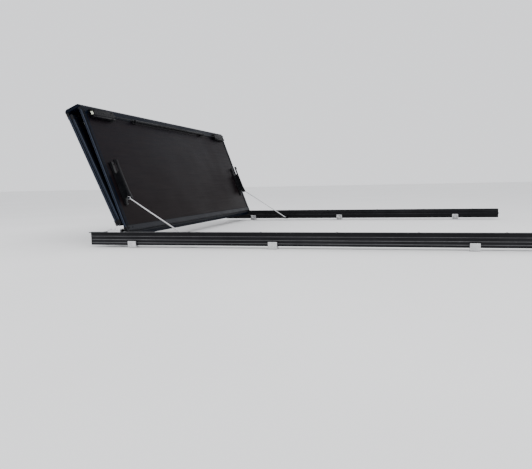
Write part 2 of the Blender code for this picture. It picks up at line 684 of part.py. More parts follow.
def rod(side, word, parent):
    """Prop rod, stowed along X in its own frame: eye at the pivot, end bent outboard."""
    plane = side * (HALF - ROD_INBOARD)
    points = [(EYE_RADIUS - ROD_RADIUS, 0.0), (ROD_LENGTH / 2, 0.0)]
    for step in range(5):
        angle = math.radians(90 * step / 4)
        points.append((ROD_LENGTH - ROD_BEND * (1 - math.sin(angle)),
                       ROD_BEND * (1 - math.cos(angle))))
    points.append((ROD_LENGTH, STUB_REACH))
    curve = bpy.data.curves.new("rod", "CURVE")
    curve.dimensions = "3D"
    curve.bevel_depth = ROD_RADIUS
    curve.bevel_resolution = 3
    curve.use_fill_caps = True
    spline = curve.splines.new("POLY")
    spline.points.add(len(points) - 1)
    for point, (first, second) in zip(spline.points, points):
        point.co = (first, plane + side * second, 0.0, 1.0)
    wire = bpy.data.objects.new("rod", curve)
    bpy.context.scene.collection.objects.link(wire)
    item = as_mesh(wire)
    low, high = plane - ROD_RADIUS, plane + ROD_RADIUS
    combine(item, cylinder(EYE_RADIUS, low, high, 24), "UNION")
    bore = (low - ROD_RADIUS, high + ROD_RADIUS)
    combine(item, cylinder(EYE_PIN_RADIUS + EYE_GAP, bore[0], bore[1], 16), "DIFFERENCE")
    place(item, f"{word}_prop_rod", STEEL, parent)


# ---------------------------------------------------------------- latches

def latch_levels():
    """Underside levels of the housing floor, the bolt's two faces and the housing bars."""
    bolt_top = LEDGE_LOW - HINGE_Z - LATCH_UNDER_LIP
    return BOTTOM - JOINT_GAP, bolt_top, bolt_top - BOLT_THICK, BOTTOM - LATCH_HEIGHT


def latch_housing(side, word, name, parent, middle):
    """Open housing under a panel's rear corner: floor plate and two bars that guide the bolt."""
    face, _, _, low = latch_levels()
    span = side_span(side, LATCH_INBOARD, LATCH_INBOARD + LATCH_LENGTH)
    floor = box((middle - LATCH_WIDTH / 2, span[0], face - LATCH_FLOOR),
                (middle + LATCH_WIDTH / 2, span[1], face))
    for edge in (-1, 1):
        ends = (middle + edge * LATCH_WIDTH / 2, middle + edge * (LATCH_WIDTH / 2 - LATCH_BAR))
        bar = box((min(ends), span[0], low), (max(ends), span[1], face - LATCH_FLOOR / 2))
        combine(floor, bar, "UNION")
    place(floor, f"{name}_{word}_latch_housing", PLASTIC, parent)


def latch_bolt(side, word, name, parent, middle):
    """Sliding bolt with a sloped nose, drawn back clear of the rail."""
    _, top, low, _ = latch_levels()
    half = LATCH_WIDTH / 2 - LATCH_BAR - BOLT_SIDE_GAP
    nose = LATCH_INBOARD - BOLT_OUT
    slope_along, slope_across = BOLT_SLOPE
    points = [(nose, top), (nose + BOLT_LENGTH, top), (nose + BOLT_LENGTH, low),
              (nose + slope_along, low), (nose, low + slope_across)]
    item = as_mesh(along(side_outline(side, points), middle - half, middle + half))
    socket = side_span(side, nose + BOLT_LENGTH - BOLT_SOCKET, nose + BOLT_LENGTH + BOLT_SOCKET)
    combine(item, cylinder(CABLE_RADIUS + JOINT_GAP, socket[0], socket[1], 12,
                           (middle, (top + low) / 2)), "DIFFERENCE")
    place(item, f"{name}_{word}_latch_bolt", ZINC, parent)


def release_cable(side, word, parent, middle):
    """Cable from the bolt's end into the sleeve between the guide clips."""
    _, top, low, _ = latch_levels()
    start = LATCH_INBOARD - BOLT_OUT + BOLT_LENGTH - BOLT_SOCKET + JOINT_GAP
    span = side_span(side, start, CLIP_INBOARD + CABLE_IN_SLEEVE)
    item = cylinder(CABLE_RADIUS, span[0], span[1], 10, (middle, (top + low) / 2))
    place(item, f"{word}_release_cable", STEEL, parent)


def cable_clip(side, word, parent, middle):
    """Guide clip on the front panel: a foot and an eye that the cable slides through."""
    _, top, low, _ = latch_levels()
    height = (top + low) / 2
    face = BOTTOM - JOINT_GAP
    length, width = CLIP_SIZE
    span = side_span(side, CLIP_INBOARD - width / 2, CLIP_INBOARD + width / 2)
    item = box((middle - length / 2, span[0], face - CLIP_PLATE), (middle + length / 2, span[1], face))
    eye = side_span(side, CLIP_INBOARD - width / 4, CLIP_INBOARD + width / 4)
    neck = box((middle - CLIP_NECK / 2, eye[0], height),
               (middle + CLIP_NECK / 2, eye[1], face - CLIP_PLATE / 3))
    combine(item, neck, "UNION")
    ring = cylinder(SLEEVE_RADIUS + CLIP_EYE_WALL, eye[0], eye[1], 20, (middle, height))
    combine(item, ring, "UNION")
    bore = cylinder(CABLE_RADIUS + CABLE_GAP, eye[0] - width, eye[1] + width, 12, (middle, height))
    combine(item, bore, "DIFFERENCE")
    place(item, f"{word}_cable_clip", PLASTIC, parent)


def release_sleeve(parent, middle):
    """Hose that sheathes the cable between the clips, the part that is pulled to unlatch."""
    _, top, low, _ = latch_levels()
    height = (top + low) / 2
    reach = HALF - CLIP_INBOARD - CLIP_SIZE[1] / 4 - JOINT_GAP
    outline = arc(SLEEVE_RADIUS, 0, 360, (middle, height), 14)[:-1]
    hole = arc(CABLE_RADIUS + CABLE_GAP, 0, 360, (middle, height), 14)[:-1]
    place(across(outline, -reach, reach, (hole,)), "release_sleeve", PLASTIC, parent)


# ---------------------------------------------------------------- panels

def front_panel(parent):
    place(across(front_bead_frame(), -HALF, HALF), "front_panel_hinge_frame", ALUMINIUM, parent)
    rear = moved(rear_bead_frame(), FRONT_LEN)
    place(across(rear, -HALF, HALF), "front_panel_fold_frame", ALUMINIUM, parent)
    panel_sides_and_board("front_panel", parent, FRONT_LEN, END_GAP, END_GAP)


def hinge_link(parent):
    """Wide hinge between the front and middle panels: a plate with a socket along each edge."""
    turn_deg = math.degrees(FOLD) / 2
    neck_deg = math.degrees(math.asin(-NECK_LOW / SOCKET_IN))
    lean_deg = math.degrees(math.asin(-TOP / SOCKET_IN))
    upper = 180 + lean_deg - turn_deg - MOUTH_SPARE_DEG
    lower = -180 + neck_deg + MOUTH_SPARE_DEG
    plate = TOP - LINK_PLATE
    low = TOP - LINK_DEPTH
    shoulder = -BOTTOM * math.cos(math.radians(COWL_TIP_DEG)) + LINK_SIDE_GAP
    top_deg = math.degrees(math.asin(TOP / SOCKET_OUT))
    low_deg = math.degrees(math.asin(plate / SOCKET_OUT))
    half = arc(SOCKET_OUT, top_deg, upper) + arc(SOCKET_IN, upper, lower)
    half += arc(SOCKET_OUT, lower, low_deg) + [(shoulder, plate)]
    half += arc(LINK_ROUND, 180, 270, (shoulder + LINK_ROUND, low + LINK_ROUND), 4)
    other = [(LINK_LEN - first, second) for first, second in reversed(half)]
    place(across(half + other, -HALF, HALF), "fold_hinge_link", ALUMINIUM, parent)


def middle_panel(parent):
    front = flipped(rear_bead_frame())
    place(across(front, -HALF, HALF), "middle_panel_fold_frame", ALUMINIUM, parent)
    rear = as_mesh(across(moved(pinned_frame(), MIDDLE_LEN), -HALF, HALF))
    add_knuckles(rear, 0, KNUCKLES + 1, MIDDLE_LEN, -1)
    place(rear, "middle_panel_pin_frame", ALUMINIUM, parent)
    panel_sides_and_board("middle_panel", parent, MIDDLE_LEN, END_GAP, PIN_END_GAP)
    pin = cylinder(PIN_RADIUS, -HALF + PIN_SHORT, HALF - PIN_SHORT, 16, (MIDDLE_LEN, 0.0))
    place(pin, "rear_fold_pin", STEEL, parent)


def rear_panel(parent):
    front = as_mesh(across(flipped(pinned_frame()), -HALF, HALF))
    add_knuckles(front, 1, KNUCKLES, 0.0, 1)
    place(front, "rear_panel_pin_frame", ALUMINIUM, parent)
    place(across(tailgate_frame(), -HALF, HALF), "rear_panel_tailgate_frame", ALUMINIUM, parent)
    panel_sides_and_board("rear_panel", parent, REAR_LEN, PIN_END_GAP, NOSE)
    centre = (REAR_LEN - BULB_FROM_END, BOTTOM - JOINT_GAP - BULB_RADIUS)
    outline = arc(BULB_RADIUS, 0, 360, centre, 12)[:-1]
    hole = arc(BULB_RADIUS - BULB_WALL, 0, 360, centre, 12)[:-1]
    seal = across(outline, -HALF + BULB_SHORT, HALF - BULB_SHORT, (hole,))
    place(seal, "tailgate_seal", RUBBER, parent)


SIDES = ((-1, "left"), (1, "right"))


def build():
    header()
    header_seal()
    for side, word in SIDES:
        rail(side, word)
        rail_seal(side, word)
        header_bracket(side, word)
        rod_catch(side, word)
        for index, from_hinge in enumerate(CLAMP_FROM_HINGE, 1):
            clamp(side, word, index, from_hinge)

    front = joint_empty("front_hinge_axis", None, (HINGE_X, 0.0, HINGE_Z), STAND)
    link = joint_empty("link_axis", front, (FRONT_LEN, 0.0, 0.0), FOLD / 2)
    middle = joint_empty("middle_axis", link, (LINK_LEN, 0.0, 0.0), FOLD / 2)
    rear = joint_empty("rear_fold_axis", middle, (MIDDLE_LEN, 0.0, 0.0), math.pi)

    front_panel(front)
    hinge_link(link)
    middle_panel(middle)
    rear_panel(rear)

    latch_x = FRONT_LEN - FRONT_LATCH_BACK
    rear_latch_x = REAR_LEN - REAR_LATCH_BACK
    pivot_x, pivot_z = rod_pivot()
    for side, word in SIDES:
        rod_bracket(side, word, front)
        rod_pin(side, word, front)
        rod_axis = joint_empty(f"{word}_rod_axis", front, (pivot_x, 0.0, pivot_z), -ROD_TURN)
        rod(side, word, rod_axis)
        latch_housing(side, word, "front", front, latch_x)
        latch_bolt(side, word, "front", front, latch_x)
        release_cable(side, word, front, latch_x)
        cable_clip(side, word, front, latch_x)
        latch_housing(side, word, "rear", rear, rear_latch_x)
        latch_bolt(side, word, "rear", rear, rear_latch_x)
    release_sleeve(front, latch_x)


build()
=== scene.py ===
"""Finish, fastenings and fine detail of a folded tri-fold truck bed cover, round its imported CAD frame."""
import json
import math

import bmesh
import bpy
from mathutils import Matrix, Vector


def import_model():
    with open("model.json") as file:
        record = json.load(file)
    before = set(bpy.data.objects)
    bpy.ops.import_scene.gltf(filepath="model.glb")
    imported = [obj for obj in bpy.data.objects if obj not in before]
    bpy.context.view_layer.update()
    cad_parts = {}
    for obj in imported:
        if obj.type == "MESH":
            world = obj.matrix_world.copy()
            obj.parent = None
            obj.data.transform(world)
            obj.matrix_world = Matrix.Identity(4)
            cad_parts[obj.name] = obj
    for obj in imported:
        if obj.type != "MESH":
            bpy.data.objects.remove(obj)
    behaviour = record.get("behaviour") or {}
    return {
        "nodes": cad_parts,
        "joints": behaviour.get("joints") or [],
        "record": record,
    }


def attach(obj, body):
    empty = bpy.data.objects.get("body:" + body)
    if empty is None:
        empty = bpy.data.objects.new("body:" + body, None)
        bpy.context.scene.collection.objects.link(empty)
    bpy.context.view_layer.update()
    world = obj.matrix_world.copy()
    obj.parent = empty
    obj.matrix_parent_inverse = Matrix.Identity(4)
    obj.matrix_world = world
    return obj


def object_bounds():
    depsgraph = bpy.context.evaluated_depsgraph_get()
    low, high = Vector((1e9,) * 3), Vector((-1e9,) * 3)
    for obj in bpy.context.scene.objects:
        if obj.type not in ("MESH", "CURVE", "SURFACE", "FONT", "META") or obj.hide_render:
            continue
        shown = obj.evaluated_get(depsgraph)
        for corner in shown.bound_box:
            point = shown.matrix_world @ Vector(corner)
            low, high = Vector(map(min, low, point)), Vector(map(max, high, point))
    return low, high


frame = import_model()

CAD_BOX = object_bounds()
NODES = frame["nodes"]
JOINTS = {joint["name"]: joint for joint in frame["joints"]}
SIDES = ((-1, "left"), (1, "right"))

# Sizes of the CAD panels, in the frame of each panel's own front hinge line
PANEL_TOP = -0.0005
PANEL_BOTTOM = -0.0155
FRAME_WIDTH = 0.024
FRAME_LIP = 0.0018
FRAME_OVER_BOARD = 0.003   # frame past the board's edge

# Small fits and fastenings
SINK = 0.0002              # a piece let into the face that it sits on
CORNER_SCREW = 0.0032      # head radius
LATCH_SCREW = 0.0034
CLIP_SCREW = 0.0026
BRACKET_RIVET = 0.0040
HEADER_BOLT = 0.0052
HEADER_SCREW = 0.0042
RAIL_PLUG = 0.0042
CAD_EASE = 0.0006          # rounding of the small CAD castings


# ---------------------------------------------------------------- frames of the flat panels

def panel_frame(joint_name, folded_deg):
    """A panel's own frame: X from its front hinge line to its rear one, Z out of its top."""
    place = Matrix.Translation(Vector(JOINTS[joint_name]["pos_m"]))
    return place @ Matrix.Rotation(math.radians(-folded_deg), 4, "Y")


STAND_DEG = JOINTS["front_hinge"]["range_deg"][1]
LINK_DEG = JOINTS["link_hinge"]["range_deg"][1]
STACK_DEG = STAND_DEG + 2 * LINK_DEG
FLAT = {
    "root": Matrix.Translation(Vector(JOINTS["front_hinge"]["pos_m"])),
    "front_panel": panel_frame("front_hinge", STAND_DEG),
    "fold_link": panel_frame("link_hinge", STAND_DEG + LINK_DEG),
    "middle_panel": panel_frame("middle_hinge", STACK_DEG),
    "rear_panel": panel_frame("rear_hinge", STACK_DEG + 180),
}
LINK_LENGTH = (Vector(JOINTS["middle_hinge"]["pos_m"]) - Vector(JOINTS["link_hinge"]["pos_m"])).length
UNDER = (0.0, 0.0, -1.0)
UP = (0.0, 0.0, 1.0)


def flat_box(body, *names):
    """Lowest and highest corner of CAD nodes in their panel's own frame."""
    inverse = FLAT[body].inverted()
    low, high = Vector((9, 9, 9)), Vector((-9, -9, -9))
    for name in names:
        for vertex in NODES[name].data.vertices:
            point = inverse @ vertex.co
            low = Vector(map(min, low, point))
            high = Vector(map(max, high, point))
    return low, high


# ---------------------------------------------------------------- node helpers

class Nodes:
    """Short names for building one node tree."""

    def __init__(self, name):
        self.material = bpy.data.materials.new(name)
        self.material.use_nodes = True
        self.tree = self.material.node_tree
        self.shader = self.tree.nodes["Principled BSDF"]
        coordinates = self.tree.nodes.new("ShaderNodeTexCoord")
        self.place = coordinates.outputs["Object"]

    def link(self, source, target):
        self.tree.links.new(source, target)

    def scaled(self, scale, turn=(0.0, 0.0, 0.0), shift=(0.0, 0.0, 0.0)):
        """The place on the object, stretched by a scale in X, Y and Z."""
        mapping = self.tree.nodes.new("ShaderNodeMapping")
        mapping.inputs["Scale"].default_value = scale
        mapping.inputs["Rotation"].default_value = turn
        mapping.inputs["Location"].default_value = shift
        self.link(self.place, mapping.inputs["Vector"])
        return mapping.outputs["Vector"]

    def noise(self, scale, detail=3.0, roughness=0.5, stretch=(1.0, 1.0, 1.0)):
        node = self.tree.nodes.new("ShaderNodeTexNoise")
        node.inputs["Scale"].default_value = scale
        node.inputs["Detail"].default_value = detail
        node.inputs["Roughness"].default_value = roughness
        self.link(self.scaled(stretch), node.inputs["Vector"])
        return node.outputs["Fac"]

    def cells(self, scale, stretch=(1.0, 1.0, 1.0)):
        node = self.tree.nodes.new("ShaderNodeTexVoronoi")
        node.inputs["Scale"].default_value = scale
        self.link(self.scaled(stretch), node.inputs["Vector"])
        return node.outputs["Distance"]

    def spread(self, value, low, high, to_low=0.0, to_high=1.0):
        """A value moved from one range to another, held at the ends."""
        node = self.tree.nodes.new("ShaderNodeMapRange")
        node.inputs["From Min"].default_value = low
        node.inputs["From Max"].default_value = high
        node.inputs["To Min"].default_value = to_low
        node.inputs["To Max"].default_value = to_high
        self.link(value, node.inputs["Value"])
        return node.outputs["Result"]

    def sums(self, operation, first, second):
        node = self.tree.nodes.new("ShaderNodeMath")
        node.operation = operation
        for value, socket in ((first, node.inputs[0]), (second, node.inputs[1])):
            if isinstance(value, float):
                socket.default_value = value
            else:
                self.link(value, socket)
        return node.outputs[0]

    def along(self, axis, turn_deg=0.0):
        """The place along one axis, after a turn about Y."""
        split = self.tree.nodes.new("ShaderNodeSeparateXYZ")
        turned = self.scaled((1.0, 1.0, 1.0), (0.0, math.radians(turn_deg), 0.0))
        self.link(turned, split.inputs["Vector"])
        return split.outputs[axis]

    def mix(self, share, first, second):
        """Two colours mixed by a share; a colour is given as three numbers or comes from a node."""
        node = self.tree.nodes.new("ShaderNodeMix")
        node.data_type = "RGBA"
        self.link(share, node.inputs["Factor"])
        for colour, socket in ((first, node.inputs["A"]), (second, node.inputs["B"])):
            target = [s for s in node.inputs if s.name == socket.name and s.type == "RGBA"][0]
            if isinstance(colour, tuple):
                target.default_value = (*colour, 1.0)
            else:
                self.link(colour, target)
        return [s for s in node.outputs if s.type == "RGBA"][0]

    def bump(self, height, strength, distance, under=None):
        node = self.tree.nodes.new("ShaderNodeBump")
        node.inputs["Strength"].default_value = strength
        node.inputs["Distance"].default_value = distance
        self.link(height, node.inputs["Height"])
        if under is not None:
            self.link(under, node.inputs["Normal"])
        return node.outputs["Normal"]

    def finish(self, colour, roughness, normal, **constants):
        self.link(colour, self.shader.inputs["Base Color"])
        self.link(roughness, self.shader.inputs["Roughness"])
        self.link(normal, self.shader.inputs["Normal"])
        for name, value in constants.items():
            self.shader.inputs[name.replace("_", " ")].default_value = value
        return self.material


# ---------------------------------------------------------------- materials

def coated_aluminium(name, dark, light, gloss, shine):
    """Extruded aluminium, black coated: drawn lines along the extrusion, dust and rubbed patches."""
    nodes = Nodes(name)
    dust = nodes.spread(nodes.noise(7.0, 4.0, 0.6), 0.38, 0.72)
    drawn = nodes.noise(420.0, 2.0, 0.5, (1.0, 0.02, 1.0))
    rubbed = nodes.spread(nodes.noise(38.0, 5.0, 0.7, (1.0, 0.25, 1.0)), 0.60, 0.78)
    base = nodes.mix(dust, dark, light)
    worn = tuple(min(1.0, channel * 1.7 + 0.006) for channel in light)
    colour = nodes.mix(nodes.sums("MULTIPLY", rubbed, 0.55), base, worn)
    rough = nodes.sums("ADD", nodes.spread(dust, 0.0, 1.0, gloss, gloss + 0.14),
                       nodes.spread(drawn, 0.3, 0.7, -0.05, 0.05))
    peel = nodes.bump(nodes.noise(900.0, 2.0), 0.12, 0.0006)
    normal = nodes.bump(drawn, 0.10, 0.0006, peel)
    return nodes.finish(colour, rough, normal, Metallic=0.0, Specular_IOR_Level=shine)


def panel_laminate(name, low_painted_reflection, high_painted_reflection):
    """Dark board skin: fine lines across the truck, light dust, and a painted reflection that runs from
    warm low down to bluish high up.
    """
    nodes = Nodes(name)
    # Painted reflection: the colour shifts with height, from the warm bed reflected low down to the bluish
    # sky reflected high up.
    height = nodes.spread(nodes.along("Z"), 0.05, 0.60)
    base = nodes.mix(height, low_painted_reflection, high_painted_reflection)
    lines = nodes.noise(300.0, 3.0, 0.6, (1.0, 0.012, 1.0))
    grain = nodes.noise(60.0, 4.0, 0.6, (1.0, 0.10, 1.0))
    streaks = nodes.spread(grain, 0.40, 0.66)
    dusty = tuple(channel * 1.9 + 0.0012 for channel in low_painted_reflection)
    colour = nodes.mix(nodes.sums("MULTIPLY", streaks, 0.45), base, dusty)
    cloud = nodes.spread(nodes.noise(3.1, 3.0, 0.55), 0.35, 0.70)
    patchy = nodes.mix(nodes.sums("MULTIPLY", cloud, 0.30), colour, dusty)
    rough = nodes.sums("ADD", nodes.spread(cloud, 0.0, 1.0, 0.33, 0.46),
                       nodes.spread(lines, 0.3, 0.7, -0.04, 0.06))
    pebble = nodes.bump(nodes.cells(700.0), 0.10, 0.0005)
    normal = nodes.bump(lines, 0.16, 0.0007, pebble)
    return nodes.finish(patchy, rough, normal, Specular_IOR_Level=0.035)


def rubber(name):
    """Black seal rubber: dull, with a pale bloom and dust caught in the low spots."""
    nodes = Nodes(name)
    bloom = nodes.spread(nodes.noise(55.0, 4.0, 0.65), 0.42, 0.70)
    colour = nodes.mix(bloom, (0.0022, 0.0023, 0.0030), (0.0052, 0.0052, 0.0060))
    rough = nodes.spread(bloom, 0.0, 1.0, 0.66, 0.86)
    normal = nodes.bump(nodes.noise(1400.0, 2.0), 0.35, 0.0005)
    return nodes.finish(colour, rough, normal, Specular_IOR_Level=0.08)


def nylon(name, dark, light):
    """Moulded black nylon: spark-eroded grain, faint flow marks and scuffs."""
    nodes = Nodes(name)
    flow = nodes.spread(nodes.noise(24.0, 3.0, 0.5, (1.0, 0.4, 1.0)), 0.35, 0.68)
    scuffs = nodes.spread(nodes.noise(130.0, 4.0, 0.7, (0.4, 1.0, 1.0)), 0.62, 0.74)
    base = nodes.mix(flow, dark, light)
    colour = nodes.mix(nodes.sums("MULTIPLY", scuffs, 0.5), base, (0.014, 0.014, 0.016))
    rough = nodes.spread(flow, 0.0, 1.0, 0.42, 0.56)
    normal = nodes.bump(nodes.cells(1500.0), 0.25, 0.0005)
    return nodes.finish(colour, rough, normal, Specular_IOR_Level=0.12)


def plated_steel(name, bright, dull, drawn_scale):
    """Zinc-plated steel: drawn lines, brighter rubbed spots and a few stains."""
    nodes = Nodes(name)
    drawn = nodes.noise(drawn_scale, 3.0, 0.6, (0.06, 1.0, 1.0))
    stains = nodes.spread(nodes.noise(46.0, 4.0, 0.65), 0.55, 0.75)
    base = nodes.mix(nodes.spread(drawn, 0.3, 0.7), bright, dull)
    spot = tuple(channel * 0.55 for channel in dull)
    colour = nodes.mix(nodes.sums("MULTIPLY", stains, 0.6), base, spot)
    rough = nodes.sums("ADD", nodes.spread(drawn, 0.3, 0.7, 0.22, 0.34),
                       nodes.spread(stains, 0.0, 1.0, 0.0, 0.14))
    normal = nodes.bump(drawn, 0.12, 0.0005)
    return nodes.finish(colour, rough, normal, Metallic=1.0)


FRAME_BLACK = coated_aluminium("frame_aluminium", (0.0009, 0.0025, 0.0066), (0.0016, 0.0036, 0.0088),
                               0.34, 0.04)
RAIL_BLACK = coated_aluminium("rail_aluminium", (0.006, 0.006, 0.0075), (0.013, 0.013, 0.015), 0.40, 0.12)
# Board colours are a painted reflection: reddish low down, bluish high up.
BOARD = panel_laminate("panel_laminate", (0.0044, 0.0027, 0.0030), (0.0040, 0.0037, 0.0064))
RUBBER = rubber("seal_rubber")
NYLON = nylon("black_nylon", (0.0022, 0.0024, 0.0034), (0.0042, 0.0044, 0.0056))
STEEL = plated_steel("bright_steel", (0.74, 0.74, 0.75), (0.50, 0.50, 0.51), 420.0)
ZINC = plated_steel("pale_zinc", (0.66, 0.68, 0.56), (0.46, 0.48, 0.38), 380.0)
# Lighter copy of the frame aluminium for the front hinge frame: the dust is as on every frame, the lighter
# tone is a painted sheen of sky reflected on it.
DUST_AND_SHEEN_FRAME = coated_aluminium("dust_and_sheen_aluminium", (0.0080, 0.0090, 0.0120), (0.0140, 0.0150, 0.0185),
                               0.40, 0.09)
# Lighter, bluer copy of the frame aluminium: painted highlight for the panel edge beads.
EDGE_PAINTED_HIGHLIGHT = coated_aluminium("edge_highlight_aluminium", (0.012, 0.018, 0.032), (0.020, 0.028, 0.046), 0.30, 0.2)
# Much lighter grey copy of the rail aluminium: painted highlight and painted sky reflection for the rail
# beads.
RAIL_PAINTED_HIGHLIGHT = coated_aluminium("rail_edge_aluminium", (0.06, 0.06, 0.065), (0.11, 0.11, 0.115), 0.34, 0.3)
LOOKS = {
    "frame_aluminium": FRAME_BLACK,
    "rail_aluminium": RAIL_BLACK,
    "panel_laminate": BOARD,
    "seal_rubber": RUBBER,
    "black_nylon": NYLON,
    "bright_steel": STEEL,
    "pale_zinc": ZINC,
}
NODE_LOOKS = {
    # The hinge frame gets the lighter copy: a painted sheen.
    "front_panel_hinge_frame": DUST_AND_SHEEN_FRAME,
    "left_rod_pin": FRAME_BLACK,
    "right_rod_pin": FRAME_BLACK,
}
SOFT_EDGED = ("_housing", "_clip", "_rod_bracket", "_header_bracket", "_rod_catch")
NODE_SLOTS = {part["node"]: part["material_slot"] for part in frame["record"]["subparts"]}


# ---------------------------------------------------------------- CAD nodes

def soften(item, width, segments=2):
    """Weld the imported mesh and round its sharp edges, so that they catch the light."""
    weld = item.modifiers.new("weld", "WELD")
    weld.merge_threshold = 0.00001
    rounding = item.modifiers.new("rounding", "BEVEL")
    rounding.width = width
    rounding.segments = segments
    rounding.limit_method = "ANGLE"
    rounding.angle_limit = math.radians(40)
    rounding.use_clamp_overlap = True
    rounding.harden_normals = True


def smooth(item, angle_deg=35.0):
    item.data.shade_smooth()
    item.data.set_sharp_from_angle(angle=math.radians(angle_deg))


def dress_cad_nodes():
    for name, node in NODES.items():
        node.data.materials.clear()
        node.data.materials.append(NODE_LOOKS.get(name, LOOKS[NODE_SLOTS[name]]))
        smooth(node)
        if name.endswith(SOFT_EDGED) or "_clamp_" in name:
            soften(node, CAD_EASE)


dress_cad_nodes()


# ---------------------------------------------------------------- mesh helpers

def add_box(shape, low, high):
    """A box between two corners."""
    size = Vector(high) - Vector(low)
    centre = (Vector(high) + Vector(low)) / 2
    place = Matrix.Translation(centre) @ Matrix.Diagonal((*map(abs, size), 1.0))
    bmesh.ops.create_cube(shape, size=1.0, matrix=place)


def add_prism(shape, outline, axis, low, high):
    """A flat outline pushed along one axis; the outline's two numbers go to the other two axes in order."""
    def corner(first, second, third):
        numbers = [first, second]
        numbers.insert("XYZ".index(axis), third)
        return numbers
    rings = []
    for level in (low, high):
        rings.append([shape.verts.new(corner(first, second, level)) for first, second in outline])
    count = len(outline)
    faces = [shape.faces.new(rings[0]), shape.faces.new(rings[1])]
    for index in range(count):
        after = (index + 1) % count
        faces.append(shape.faces.new((rings[0][index], rings[0][after], rings[1][after], rings[1][index])))
    bmesh.ops.recalc_face_normals(shape, faces=faces)


def add_turned(shape, centre, axis, profile, sides=20):
    """A turned solid: pairs of radius and height along an axis from a centre, closed at both ends."""
    turn = Vector(axis).to_track_quat("Z", "Y").to_matrix().to_4x4()
    place = Matrix.Translation(Vector(centre)) @ turn
    rings = []
    for radius, height in profile:
        ring = []
        for index in range(sides):
            angle = math.tau * index / sides
            ring.append(shape.verts.new(place @ Vector((radius * math.cos(angle),
                                                        radius * math.sin(angle), height))))
        rings.append(ring)
    faces = [shape.faces.new(rings[0]), shape.faces.new(rings[-1])]
    for lower, upper in zip(rings, rings[1:]):
        for index in range(sides):
            after = (index + 1) % sides
            faces.append(shape.faces.new((lower[index], lower[after], upper[after], upper[index])))
    bmesh.ops.recalc_face_normals(shape, faces=faces)


def add_tube(shape, path, radius, sides=8):
    """A round wire along a list of points."""
    points = [Vector(point) for point in path]
    rings = []
    for index, point in enumerate(points):
        before = points[max(index - 1, 0)]
        after = points[min(index + 1, len(points) - 1)]
        turn = (after - before).to_track_quat("Z", "Y").to_matrix()
        ring = []
        for step in range(sides):
            angle = math.tau * step / sides
            ring.append(shape.verts.new(point + turn @ Vector((radius * math.cos(angle),
                                                               radius * math.sin(angle), 0.0))))
        rings.append(ring)
    faces = [shape.faces.new(rings[0]), shape.faces.new(rings[-1])]
    for lower, upper in zip(rings, rings[1:]):
        for index in range(sides):
            after = (index + 1) % sides
            faces.append(shape.faces.new((lower[index], lower[after], upper[after], upper[index])))
    bmesh.ops.recalc_face_normals(shape, faces=faces)


def piece(name, body, slot_name, shape, bevel=0.0, look=None):
    """A finished piece made in its body's flat frame, riding on that body."""
    mesh = bpy.data.meshes.new(name)
    shape.to_mesh(mesh)
    shape.free()
    item = bpy.data.objects.new(name, mesh)
    bpy.context.scene.collection.objects.link(item)
    item.matrix_world = FLAT[body]
    mesh.materials.append(look or LOOKS[slot_name])
    smooth(item)
    if bevel:
        rounding = item.modifiers.new("rounding", "BEVEL")
        rounding.width = bevel
        rounding.segments = 2
        rounding.limit_method = "ANGLE"
        rounding.angle_limit = math.radians(40)
    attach(item, body)
    return item


def half_round(centre_first, centre_second, reach_first, half_second, steps=6):
    """Outline of a low half-round bead: it stands out by reach and is two halves wide."""
    points = []
    for step in range(steps + 1):
        angle = math.pi * step / steps
        points.append((centre_first + reach_first * math.sin(angle),
                       centre_second - half_second * math.cos(angle)))
    return points


def add_screw(shape, centre, axis, radius):
    """A pan-head screw with a round recess."""
    rise = radius * 0.62
    profile = [(radius, 0.0), (radius, rise * 0.45), (radius * 0.86, rise * 0.85)]
    profile += [(radius * 0.60, rise), (radius * 0.46, rise), (radius * 0.44, rise * 0.4)]
    add_turned(shape, centre, axis, profile, 18)


def screws(name, body, slot_name, centres, axis, radius):
    """One piece that holds all the screws of a group."""
    shape = bmesh.new()
    for centre in centres:
        add_screw(shape, centre, axis, radius)
    piece(name, body, slot_name, shape)


def outer_inner(side, low, high):
    """A box's Y limits, the outboard one first."""
    return (low.y, high.y) if side < 0 else (high.y, low.y)


# ---------------------------------------------------------------- panel trim

